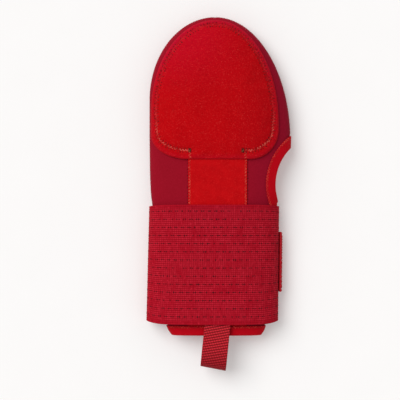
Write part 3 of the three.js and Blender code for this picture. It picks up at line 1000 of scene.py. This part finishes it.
def strip_points(angle, y_low, y_high, dips, share, by, floor):
    """Points of a strip round the strap's surface, by its angle and its share of the width."""
    fold = np.abs(np.cos(angle)) ** 6
    low, high = y_low + dips[0] * fold, y_high - dips[1] * fold
    y = low + (high - low) * share
    section = strap_at(y)
    section.left = section.left + by
    section.right = section.right + by
    section.crown = section.crown + by
    section.belly = section.belly + by
    section.rest = floor
    return on_section(section, angle)


def even_angles(start, end, y, step_length):
    """Angles at even steps of length round the strap."""
    fine = np.linspace(start, end, 4000)
    points = strip_points(fine, y, y, (0, 0), 0.0, STRAP_THICKNESS, 0.0)
    reach = travelled(points)
    count = int(reach[-1] / step_length) + 1
    at = np.linspace(0, reach[-1], count)
    return np.interp(at, reach, fine), at


def below_at_x(x, half):
    return TURN - math.acos((x / half) ** (BELLY_POWER / 2))


def below_at_height(z, depth):
    return -math.asin(((SEAM_HEIGHT - z) / depth) ** (BELLY_POWER / 2))


def mapped_sheet(name, upper, lower, along, across, finish):
    """A closed sheet whose own map gives the millimetres along and across it."""
    piece = closed_sheet(name, upper, lower, finish)
    place = np.tile(np.stack([along, across], axis=-1).reshape(-1, 2), (2, 1))
    corners = np.zeros(len(piece.data.loops), int)
    piece.data.loops.foreach_get("vertex_index", corners)
    layer = piece.data.uv_layers.new(name="cloth")
    layer.data.foreach_set("uv", place[corners].ravel())
    return piece


def wrist_strap():
    """Wide ribbed elastic, wrapped round the wrist."""
    middle = strap_at(STRAP_MIDDLE)
    clear_of_tab = TAB_THICKNESS + 2 * GAP + STRAP_THICKNESS / 2
    start = below_at_height(clear_of_tab, middle.belly + STRAP_THICKNESS)
    end = below_at_x(TAB_REACH - GAP, float(middle.right) + STRAP_THICKNESS)
    angle, along = even_angles(start, end, STRAP_MIDDLE, 2.7)
    across = edge_steps(STRAP_WIDTH, 0.8, RIB_PITCH / 6)
    turn, width = np.meshgrid(angle, across, indexing="ij")
    inset = np.minimum(width, STRAP_WIDTH - width)
    half = STRAP_THICKNESS / 2 * (0.3 + 0.7 * rounded(inset, 0.8))
    rib = 0.5 - 0.5 * np.cos(TURN * width / RIB_PITCH)
    relief = 0.22 * (1 - rib) * np.clip(inset / 1.5, 0, 1)
    faces = []
    for by in (STRAP_THICKNESS / 2 + half - relief, STRAP_THICKNESS / 2 - half):
        floor = STRAP_THICKNESS - by
        share = width / STRAP_WIDTH
        faces.append(strip_points(turn, STRAP_LOWER, STRAP_UPPER, STRAP_DIPS, share, by, floor))
    length = np.broadcast_to(along[:, None], turn.shape)
    strap = mapped_sheet("wrist_strap_elastic", faces[0], faces[1], length, width, ELASTIC_FACE)
    return strap, (start, end, float(along[-1]))


def hook_tab():
    """The hook tape that closes the strap, with its edge cut in small scallops."""
    start_depth = STRAP_THICKNESS + GAP
    start = below_at_x(TAB_REACH, float(strap_at(TAB_MIDDLE).right) + start_depth)
    end = TURN + math.radians(TAB_RISE)
    angle, along = even_angles(start, end, TAB_MIDDLE, 0.6)
    across = edge_steps(TAB_WIDTH, 0.6, 0.6)
    turn, width = np.meshgrid(angle, across, indexing="ij")
    length = np.broadcast_to(along[:, None], turn.shape)
    inset = np.minimum(np.minimum(width, TAB_WIDTH - width), np.minimum(length, along[-1] - length))
    half = TAB_THICKNESS / 2 * (0.3 + 0.7 * rounded(inset, 1.2))
    bumps = 0.16 * np.sin(TURN * width / 3.1) * np.sin(TURN * length / 2.6)
    bumps += 0.4 * np.sin(TURN * width / 4.1) * np.clip((0.7 * TAB_WIDTH - width) / 6, 0, 1)
    mid = start_depth + TAB_THICKNESS / 2
    faces = []
    for by in (mid + half - 0.2 + bumps * np.clip(inset, 0, 1), mid - half):
        floor = np.maximum(TAB_THICKNESS - (by - start_depth), 0)
        share = width / TAB_WIDTH
        faces.append(strip_points(turn, TAB_LOWER, TAB_UPPER, (0, 0), share, by, floor))
    tab = mapped_sheet("hook_tab_tape", faces[0], faces[1], length, width, HOOK_FACE)
    return tab, (start, end), float(along[-1])


def loop_path():
    """The pull loop seen from the side: how far out from its root, and how high."""
    lower_ply = SEAM_HEIGHT + float(sleeve_at(LOOP_ROOT).crown) + STACK + LOOP_THICKNESS / 2
    upper_ply = lower_ply + LOOP_THICKNESS + GAP
    drop = lower_ply - upper_ply + 2 * LOOP_BOW_HIGH
    reach = LOOP_ROOT + LOOP_REACH - LOOP_THICKNESS / 2
    bow_from = reach - LOOP_BOW_LONG
    path = [(0, lower_ply), (LOOP_ROOT, lower_ply)]
    for share in np.linspace(0, 1, 40)[1:-1]:
        eased = share * share * (3 - 2 * share)
        path.append((LOOP_ROOT + (bow_from - LOOP_ROOT) * share, lower_ply - drop * eased))
    for turn in np.linspace(0, math.pi, 60):
        out = bow_from + LOOP_BOW_LONG * math.sin(turn)
        path.append((out, upper_ply - LOOP_BOW_HIGH * (1 + math.cos(turn))))
    path += [(LOOP_ROOT, upper_ply), (0, upper_ply)]
    return np.array(path), reach


def pull_loop():
    """A folded length of twilled webbing."""
    path, reach = loop_path()
    total = float(spans(path).sum())
    path = evenly(path, int(total / 0.3))
    ahead = np.concatenate([path[1:], path[-1:]])
    behind = np.concatenate([path[:1], path[:-1]])
    along = unit(ahead - behind)
    length = np.linspace(0, total, len(path))
    across = edge_steps(LOOP_WIDTH, 0.65, 0.55)
    run, width = np.meshgrid(length, across, indexing="ij")
    side = width - LOOP_WIDTH / 2
    inset = np.minimum(width, LOOP_WIDTH - width)
    line = (run - side * math.tan(TWILL_ANGLE)) / TWILL_PITCH
    rib = 0.5 + 0.5 * np.cos(TURN * line)
    strand = 0.5 + 0.5 * np.sin(TURN * (width / FLOAT_PITCH + line * 0.5))
    relief = (0.26 * (1 - rib) + 0.16 * (1 - strand)) * np.clip(inset / 0.8, 0, 1)
    half = LOOP_THICKNESS / 2 * (0.35 + 0.65 * rounded(inset, 0.65))
    skew = math.tan(LOOP_SKEW) / reach
    cos, sin = math.cos(-LOOP_TILT), math.sin(-LOOP_TILT)
    faces = []
    for lift in (half - relief, -half):
        out = (path[:, 0, None] - along[:, 1, None] * lift) * (1 + side * skew)
        z = path[:, 1, None] + along[:, 0, None] * lift
        x = side * cos + out * sin
        y = side * sin - out * cos
        faces.append(np.stack([x + LOOP_CENTRE, y + LOOP_ROOT, z], axis=-1))
    loop = mapped_sheet("pull_loop_webbing", faces[0], faces[1], run, width, WEBBING_FACE)
    return loop, total


strap, (strap_start, strap_end, strap_length) = wrist_strap()
tab, tab_span, tab_length = hook_tab()
loop, loop_length = pull_loop()


# Thread


class Recipe(Finish):
    """A tree of geometry nodes with named inputs, put together the way a finish is."""

    def __init__(self, name, sizes):
        self.tree = bpy.data.node_groups.new(name, "GeometryNodeTree")
        self.nodes, self.links = self.tree.nodes, self.tree.links
        sockets = self.tree.interface
        self.sockets = {}
        kinds = {"Finish": "NodeSocketMaterial", "Rows": "NodeSocketGeometry"}
        for name in ("Rows", *sizes, "Finish"):
            kind = kinds.get(name, "NodeSocketFloat")
            self.sockets[name] = sockets.new_socket(name, in_out="INPUT", socket_type=kind)
        sockets.new_socket("Made", in_out="OUTPUT", socket_type="NodeSocketGeometry")
        self.entry = self.nodes.new("NodeGroupInput")
        self.exit = self.nodes.new("NodeGroupOutput")

    def given(self, name):
        return Wire(self, self.entry.outputs[name])

    def vector(self, operation, *values, scale=None):
        named = dict(enumerate(values))
        if scale is not None:
            named["Scale"] = scale
        return self.add("ShaderNodeVectorMath", {"operation": operation}, named)

    def attribute(self, name):
        settings = {"data_type": "FLOAT_VECTOR"}
        return self.add("GeometryNodeInputNamedAttribute", settings, {"Name": name}, "Attribute")

    def chance(self, low, high, index, seed):
        settings = {"data_type": "FLOAT"}
        values = {2: low, 3: high, "ID": index, "Seed": seed}
        return self.add("FunctionNodeRandomValue", settings, values, 1)

    def moved(self, geometry, offset):
        return self.add("GeometryNodeSetPosition", {}, {"Geometry": geometry, "Offset": offset})

    def ended(self, geometry):
        """Realizes the result and gives it its finish."""
        smooth = self.add("GeometryNodeSetShadeSmooth", {}, {"Geometry": geometry})
        real = self.add("GeometryNodeRealizeInstances", {}, {"Geometry": smooth})
        values = {"Geometry": real, "Material": self.given("Finish")}
        painted = self.add("GeometryNodeSetMaterial", {}, values)
        self.links.new(painted.socket, self.exit.inputs[0])
        return self

    def followed(self, name, rows, finish, **sizes):
        """A mesh piece made along rows of points, each a place and the way up from the cloth."""
        mesh = bpy.data.meshes.new(name)
        places = np.concatenate([place for place, up in rows])
        ends = np.cumsum([len(place) for place, up in rows])
        last = set((ends - 1).tolist())
        edges = [(i, i + 1) for i in range(len(places) - 1) if i not in last]
        mesh.from_pydata(places.tolist(), edges, [])
        ups = np.concatenate([up for place, up in rows])
        mesh.attributes.new("up", "FLOAT_VECTOR", "POINT").data.foreach_set("vector", ups.ravel())
        piece = shown(name, mesh)
        nodes = piece.modifiers.new("nodes", "NODES")
        nodes.node_group = self.tree
        nodes[self.sockets["Finish"].identifier] = finish
        for key, millimetres in sizes.items():
            nodes[self.sockets[key].identifier] = millimetres * MM
        return painted(baked(piece), finish)


def lockstitch():
    """Thread that zigzags along a row and dips into the cloth at each hole. Straight if Width is 0."""
    made = Recipe("lockstitch", ("Pitch", "Width", "Thread", "Wander"))
    thread, width = made.given("Thread"), made.given("Width")
    line = made.add("GeometryNodeMeshToCurve", {}, {0: made.given("Rows")})
    half_pitch = made.given("Pitch") * 0.5
    values = {"Curve": line, "Length": half_pitch}
    line = made.add("GeometryNodeResampleCurve", {"mode": "LENGTH"}, values)
    index = made.add("GeometryNodeSplineParameter", output="Index")
    up = made.attribute("up")
    across = made.vector("NORMALIZE", made.vector("CROSS_PRODUCT", made.add("GeometryNodeInputTangent"), up))
    side = (index % 2) - 0.5
    stray = made.chance(-1.0, 1.0, index, 3) * made.given("Wander")
    line = made.moved(line, made.vector("SCALE", across, scale=side * width + stray))
    line = made.add("GeometryNodeSubdivideCurve", {}, {"Curve": line, "Cuts": 3})
    index = made.add("GeometryNodeSplineParameter", output="Index")
    arch = 1 - abs((index % 4) - 2) * 0.5
    lift = thread * (arch * 0.75 - 0.25)
    line = made.moved(line, made.vector("SCALE", made.attribute("up"), scale=lift))
    ring = made.add("GeometryNodeCurvePrimitiveCircle", {}, {"Resolution": 5, "Radius": thread * 0.5})
    values = {"Curve": line, "Profile Curve": ring, "Fill Caps": True}
    return made.ended(made.add("GeometryNodeCurveToMesh", {}, values))


def weave_marks():
    """Pairs of short dark floats of thread, evenly along each row of the weave."""
    made = Recipe("weave_marks", ("Pitch", "Spread", "Size", "Wander"))
    size, spread, wander = made.given("Size"), made.given("Spread"), made.given("Wander")
    line = made.add("GeometryNodeMeshToCurve", {}, {0: made.given("Rows")})
    values = {"Curve": line, "Length": made.given("Pitch") * 0.5}
    line = made.add("GeometryNodeResampleCurve", {"mode": "LENGTH"}, values)
    index = made.add("GeometryNodeSplineParameter", output="Index")
    tangent = made.add("GeometryNodeInputTangent")
    pull = ((index % 2) - 0.5) * (spread - made.given("Pitch") * 0.5) * -1
    stray = made.chance(-1.0, 1.0, made.add("GeometryNodeInputIndex"), 11) * wander
    moved = made.moved(line, made.vector("SCALE", tangent, scale=stray - pull))
    float_thread = made.add("GeometryNodeMeshIcoSphere", {}, {"Radius": 1.0, "Subdivisions": 1})
    align = {"axis": "Z"}
    turn = made.add("FunctionNodeAlignRotationToVector", align, {"Vector": made.attribute("up")})
    align = {"axis": "X", "pivot_axis": "Z"}
    turn = made.add("FunctionNodeAlignRotationToVector", align, {"Rotation": turn, "Vector": tangent})
    point = made.add("GeometryNodeInputIndex")
    long = size * made.chance(0.7, 1.3, point, 5)
    wide = size * made.chance(0.75, 1.5, point, 6)
    shape = made.add("ShaderNodeCombineXYZ", {}, [long * 0.62, wide * 0.85, size * 0.2])
    drawn = made.chance(0.0, 1.0, point, 8)
    kept = made.add("FunctionNodeCompare", {"operation": "GREATER_THAN"}, [drawn, 0.1])
    values = {"Points": moved, "Selection": kept, "Instance": float_thread, "Rotation": turn}
    values["Scale"] = shape
    return made.ended(made.add("GeometryNodeInstanceOnPoints", {}, values))


def surface_of(*pieces):
    """A tree of the pieces' faces, to lay thread on."""
    vertices, faces = [], []
    for piece in pieces:
        first = len(vertices)
        vertices += [vertex.co[:] for vertex in piece.data.vertices]
        faces += [[first + i for i in face.vertices] for face in piece.data.polygons]
    return BVHTree.FromPolygons(vertices, faces)


def laid(plan, surface, spacing=0.6, under=False):
    """A row over a path in the plan, on the top of what is there, or on its underside."""
    height, way = (-0.02, Vector((0, 0, 1))) if under else (0.06, Vector((0, 0, -1)))
    reach = float(spans(plan).sum())
    plan = evenly(np.asarray(plan, float), max(int(reach / spacing), 3))
    places, ups = [], []
    for x, y in plan:
        start = Vector((x * MM + PLACE[0], y * MM + PLACE[1], height))
        place, up, _, _ = surface.ray_cast(start, way)
        if place is not None:
            places.append((place.x, place.y, max(place.z, LAID_FLOOR * MM)))
            ups.append(up[:])
    return np.array(places), eased(np.array(ups))


def eased(ups, rounds=3):
    """The ways up along a row, evened out from point to point."""
    for _ in range(rounds):
        ups[1:-1] = (ups[:-2] + 2 * ups[1:-1] + ups[2:]) / 4
    return unit(ups)


STITCHING = lockstitch()
MARKS = weave_marks()


def pad_seam_path():
    """Where the pad's stitches run, from one bar tack round the tip to the other."""
    outline = pad_outline(900)
    path = inset_outline(outline, sewn_margin(outline)[:, None])
    pocket = (path[:, 1] < PAD_LOWER + 12) & (path[:, 0] > POCKET_LEFT) & (path[:, 0] < POCKET_RIGHT)
    first = np.flatnonzero(pocket & ~np.roll(pocket, -1))[0] + 1
    path = np.roll(path, -first, axis=0)
    return path[: int((~pocket).sum())]


def thumb_seam_path(radius):
    """A path round the thumb opening, over the back of the mitt."""
    turn = np.linspace(math.radians(100), math.radians(260), 400)
    path = np.stack([THUMB_X + radius * np.cos(turn), THUMB_Y + radius * np.sin(turn)], axis=-1)
    section = sleeve_at(path[:, 1])
    return path[path[:, 0] < section.right - 1.0]


def stitched_pad(surface):
    """The zigzag round the pad, inside its edge."""
    return STITCHING.followed(
        "finger_pad_stitches", [laid(pad_seam_path(), surface)], PAD_THREAD,
        Pitch=2.6, Width=2.8, Thread=0.55, Wander=0.25,
    )


def stitched_panel(surface):
    """Zigzags along both edges of the centre panel, on over the pad's margin to the bar tacks."""
    half = PANEL_WIDTH / 2 - 1.5
    top = PAD_LOWER + POCKET_MARGIN - 1.5
    rows = []
    for x in (PANEL_CENTRE - half, PANEL_CENTRE + half):
        rows.append(laid([(x, STRAP_UPPER - 6), (x, PAD_LOWER - 0.6)], surface))
        rows.append(laid([(x, PAD_LOWER + 0.8), (x, top)], surface))
    return STITCHING.followed(
        "centre_panel_stitches", rows, PANEL_THREAD,
        Pitch=2.5, Width=2.1, Thread=0.46, Wander=0.12,
    )


def needle_holes(surface):
    """The small dark marks at the turns of the pad's zigzag: painted shade in its needle holes."""
    path = pad_seam_path()
    ahead = unit(np.gradient(path, axis=0))
    across = np.stack([-ahead[:, 1], ahead[:, 0]], axis=-1)
    rows = [laid(path + across * side, surface) for side in (-1.6, 1.6)]
    return MARKS.followed(
        "finger_pad_needle_holes", rows, HOLE_SHADE,
        Pitch=5.2, Spread=2.6, Size=0.8, Wander=0.5,
    )


def panel_edge_marks(surface):
    """Dark marks along both edges of the centre panel: painted shade at the holes of the overcast."""
    half = PANEL_WIDTH / 2 + 0.35
    ends = [STRAP_UPPER - 6, PAD_LOWER - 0.6]
    rows = [laid([(PANEL_CENTRE + side * half, y) for y in ends], surface) for side in (-1, 1)]
    return MARKS.followed(
        "centre_panel_overcast_shade", rows, HOLE_SHADE,
        Pitch=5.0, Spread=2.5, Size=0.85, Wander=0.3,
    )


def side_seams():
    """Flat zigzags over the side seams, where the two neoprene panels meet."""
    rows = []
    past_thumb = THUMB_Y + THUMB_RADIUS
    steps = sleeve_steps(BINDING_WIDTH + 1)
    for side, low, high in ((-1, 0, MITT_LENGTH), (1, 0, THUMB_Y - 46), (1, past_thumb, MITT_LENGTH)):
        y = steps[(steps > low) & (steps < high)]
        section = sleeve_at(y)
        x = np.where(side > 0, section.right, -section.left)
        plan = evenly(np.stack([x, y], axis=-1), int(len(y) * 2.5))
        along = unit(np.gradient(plan, axis=0))
        up = np.stack([along[:, 1] * side, -along[:, 0] * side, np.zeros(len(plan))], axis=-1)
        clear = THUMB_RADIUS + BINDING_WIDTH + 1.5
        kept = np.hypot(plan[:, 0] - THUMB_X, plan[:, 1] - THUMB_Y) > clear
        place = np.insert(plan, 2, SEAM_HEIGHT, axis=1) + up * 0.05
        rows.append((settled(place[kept]) * MM + PLACE, up[kept]))
    return STITCHING.followed(
        "side_seam_stitches", rows, SEAM_THREAD,
        Pitch=2.2, Width=3.0, Thread=0.5, Wander=0.1,
    )


def strip_row(angles, share, by, floor):
    """A row on the hook tab's outer face, at a share of its width."""
    here, above = (
        strip_points(angles, TAB_LOWER, TAB_UPPER, (0, 0), share, depth, low)
        for depth, low in ((by, floor), (by + 0.5, max(floor - 0.5, -0.5)))
    )
    place = settled(here)
    place[:, 2] = np.maximum(place[:, 2], STRIP_FLOOR)
    return place * MM + PLACE, unit(above - here)


def tab_stitches():
    """Straight stitches along all four edges of the hook tab."""
    by = STRAP_THICKNESS + GAP + TAB_THICKNESS - 0.12
    angle, _ = even_angles(*tab_span, TAB_MIDDLE, 0.8)
    inner = angle[4:-4]
    first, last = 0.06, 0.94
    rows = [strip_row(inner, share, by, 0.12) for share in (first, last)]
    across = np.linspace(first, last, 60)
    rows += [strip_row(np.full(60, turn), across, by, 0.12) for turn in (inner[0], inner[-1])]
    return STITCHING.followed(
        "hook_tab_stitches", rows, SEAM_THREAD,
        Pitch=4.4, Width=0.0, Thread=0.55, Wander=0.08,
    )


def bar_tacks(surface):
    """Close zigzags that lock both ends of the pad's seam, with a knot on each."""
    y = PAD_LOWER + POCKET_MARGIN
    rows, knots = [], []
    for x in (POCKET_LEFT + 0.6, POCKET_RIGHT - 0.4):
        for side in (-0.7, 0.7):
            rows.append(laid([(x + side, y - 1.6), (x + side * 0.8, y + 1.8)], surface, 0.3))
        knots.append(laid([(x - 0.9, y - 0.7), (x + 0.9, y + 0.5)], surface, 0.3))
    tacks = STITCHING.followed(
        "bar_tacks", rows, TACK_THREAD,
        Pitch=0.62, Width=1.2, Thread=0.5, Wander=0.12,
    )
    for place, up in knots:
        place += up * 0.4 * MM
    knots = STITCHING.followed(
        "bar_tack_knots", knots, KNOT_THREAD,
        Pitch=0.7, Width=1.1, Thread=0.6, Wander=0.2,
    )
    return tacks, knots


def stitched_bindings(surface):
    """Zigzags along the inner edges of both tapes, over the back and over the palm."""
    y = BINDING_WIDTH - 1.0
    reach = sleeve_at(y)
    cuff_row = [(-float(reach.left) + 2, y), (float(reach.right) - 2, y)]
    rows = []
    for under in (False, True):
        rows.append(laid(thumb_seam_path(THUMB_RADIUS + BINDING_WIDTH - 0.9), surface, under=under))
        rows.append(laid(cuff_row, surface, under=under))
    return STITCHING.followed(
        "binding_stitches", rows, TAPE_THREAD,
        Pitch=2.4, Width=2.0, Thread=0.42, Wander=0.1,
    )


def strap_rows():
    """Rows of the weave marks, all the way round the strap."""
    rows = []
    even, _ = even_angles(strap_start, strap_end, STRAP_LOWER + 50, 1.3)
    for k in range(MARK_ROWS):
        share = (FIRST_MARK_ROW + MARK_ROW_PITCH * k) / STRAP_WIDTH
        angle = even[1 + 2 * (k % 2): -1]
        here, above = (
            strip_points(angle, STRAP_LOWER, STRAP_UPPER, STRAP_DIPS, share, by, STRAP_THICKNESS - by)
            for by in (STRAP_THICKNESS - 0.06, STRAP_THICKNESS + 0.5)
        )
        ups = unit(above - here)
        places = settled(here) - ups * MARK_SINK * (1 - np.abs(ups[:, 2:]))
        above_floor = MARK_FLOOR + MARK_TILT * np.hypot(ups[:, 0], ups[:, 1])
        places[:, 2] = np.maximum(places[:, 2], above_floor)
        rows.append((places * MM + PLACE, ups))
    return rows


def marked_strap():
    """The strap's pairs of dark floats."""
    return MARKS.followed(
        "wrist_strap_marks", strap_rows(), MARK_THREAD,
        Pitch=MARK_PITCH, Spread=1.7, Size=0.88, Wander=0.16,
    )


back_surface = surface_of(pad, centre, back)
pad_stitches = stitched_pad(back_surface)
pad_holes = needle_holes(back_surface)
panel_stitches = stitched_panel(back_surface)
tacks, knots = bar_tacks(back_surface)
binding_stitches = stitched_bindings(surface_of(thumb_tape, cuff_tape, back, palm))
panel_marks = panel_edge_marks(back_surface)
strap_marks = marked_strap()
seam_stitches = side_seams()
tab_thread = tab_stitches()


# The sheets' flat sizes, in metres


def declared():
    """Works out the flat lengths of the strap, the tab and the loop, in metres, and keeps none of them."""
    strap_length * MM
    tab_length * MM
    loop_length * MM


# Every piece takes its place


def placed(piece, node):
    """A piece on the body that it rides, in the place of its solid if it has one."""
    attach(piece, "root")
    if node:
        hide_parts(node)


for piece, node, slot_name in (
    (back, "back_panel", "neoprene"),
    (palm, "palm_panel", "neoprene"),
    (thumb_tape, "thumb_binding", "binding"),
    (cuff_tape, "cuff_binding", "binding"),
    (centre, "centre_panel", "pad_fabric"),
    (pad, "finger_pad", "pad_fabric"),
    (strap, "wrist_strap", "elastic"),
    (tab, "hook_tab", "hook_tape"),
    (loop, "pull_loop", "webbing"),
    (pad_stitches, None, "pad_fabric"),
    (pad_holes, None, "pad_fabric"),
    (panel_stitches, None, "pad_fabric"),
    (panel_marks, None, "pad_fabric"),
    (tacks, None, "pad_fabric"),
    (knots, None, "pad_fabric"),
    (binding_stitches, None, "binding"),
    (strap_marks, None, "elastic"),
    (seam_stitches, None, "neoprene"),
    (tab_thread, None, "hook_tape"),
):
    placed(piece, node)
declared()


# Floor, light and camera


def floor():
    """Pale paper that glows a little."""
    mesh = bpy.data.meshes.new("floor")
    corners = [(x * FLOOR_REACH, y * FLOOR_REACH, 0) for x, y in ((-1, -1), (1, -1), (1, 1), (-1, 1))]
    mesh.from_pydata(corners, [], [(0, 1, 2, 3)])
    plane = shown("floor", mesh)
    paper = Finish("pale_paper", specular=0.1)
    grain = paper.noise(paper.place(), 40.0, 3.0)
    pale = paper.mixed(grain, (0.75, 0.74, 0.735, 1), (0.77, 0.76, 0.755, 1))
    paper.shader.inputs["Emission Color"].default_value = (1.0, 0.985, 0.975, 1)
    paper.shader.inputs["Emission Strength"].default_value = FLOOR_GLOW
    mesh.materials.append(paper.finished(pale, 0.9))


def studio():
    """A pale surround, a soft key light from the upper left and the camera straight above."""
    scene = bpy.context.scene
    scene.view_settings.view_transform = "Standard"
    world = bpy.data.worlds.new("studio")
    world.use_nodes = True
    surround = world.node_tree.nodes["Background"]
    surround.inputs["Color"].default_value = (1, 0.995, 0.99, 1)
    surround.inputs["Strength"].default_value = SURROUND_LIGHT
    scene.world = world
    key = bpy.data.lights.new("key", "SUN")
    key.energy = KEY_LIGHT
    key.angle = KEY_SPREAD
    shown("key", key).rotation_euler = Vector(KEY_WAY).to_track_quat("-Z", "Y").to_euler()
    view = bpy.data.cameras.new("camera")
    view.lens, view.sensor_width = CAMERA_LENS, CAMERA_SENSOR
    view.clip_start, view.clip_end = CAMERA_RANGE
    scene.camera = shown("camera", view)
    scene.camera.location = CAMERA_PLACE


floor()
studio()
